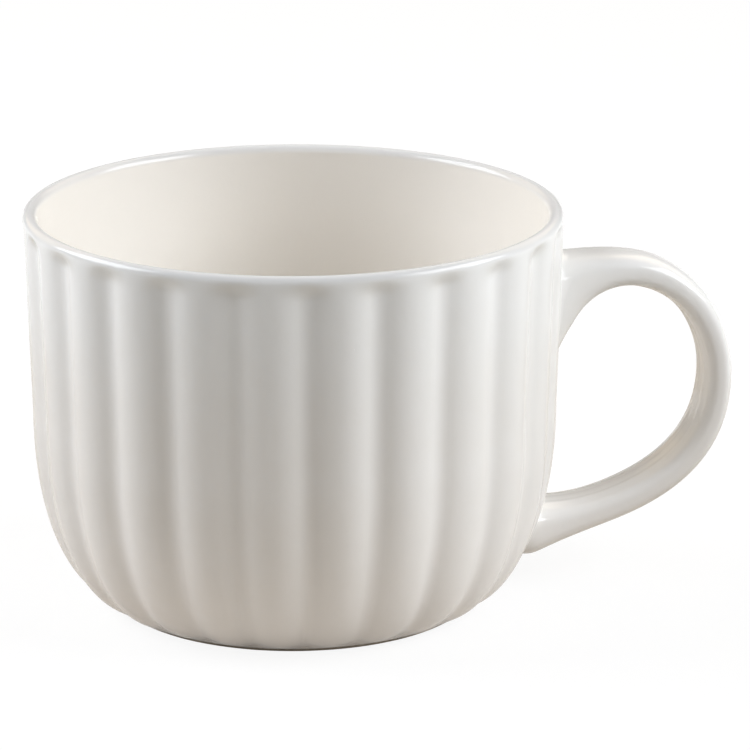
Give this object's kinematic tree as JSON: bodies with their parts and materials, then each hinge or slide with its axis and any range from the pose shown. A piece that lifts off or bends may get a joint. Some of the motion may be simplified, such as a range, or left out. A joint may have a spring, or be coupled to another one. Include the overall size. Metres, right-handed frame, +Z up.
{
  "type": "soup mug",
  "caption": "Wide glazed ceramic soup mug with an upright lobed wall, a rounded bowl, a smooth rim, an oval strap handle and a bare standing ring.",
  "frame": {"origin": "on the cup's axis, at the table that the mug stands on", "axes": "+Z up along the cup's axis, +X towards the handle"},
  "size_m": [0.1605, 0.12, 0.09],
  "materials": {
    "glaze": "glossy warm white glaze",
    "slip": "glazed slip fillet, glossy warm white",
    "bare_clay": "bare fired clay, ground smooth, matt"
  },
  "bodies": {
    "root": {"cup_body": "glaze", "handle": "glaze", "upper_slip_joint": "slip", "lower_slip_joint": "slip", "foot_ring": "bare_clay"}
  },
  "joints": []
}
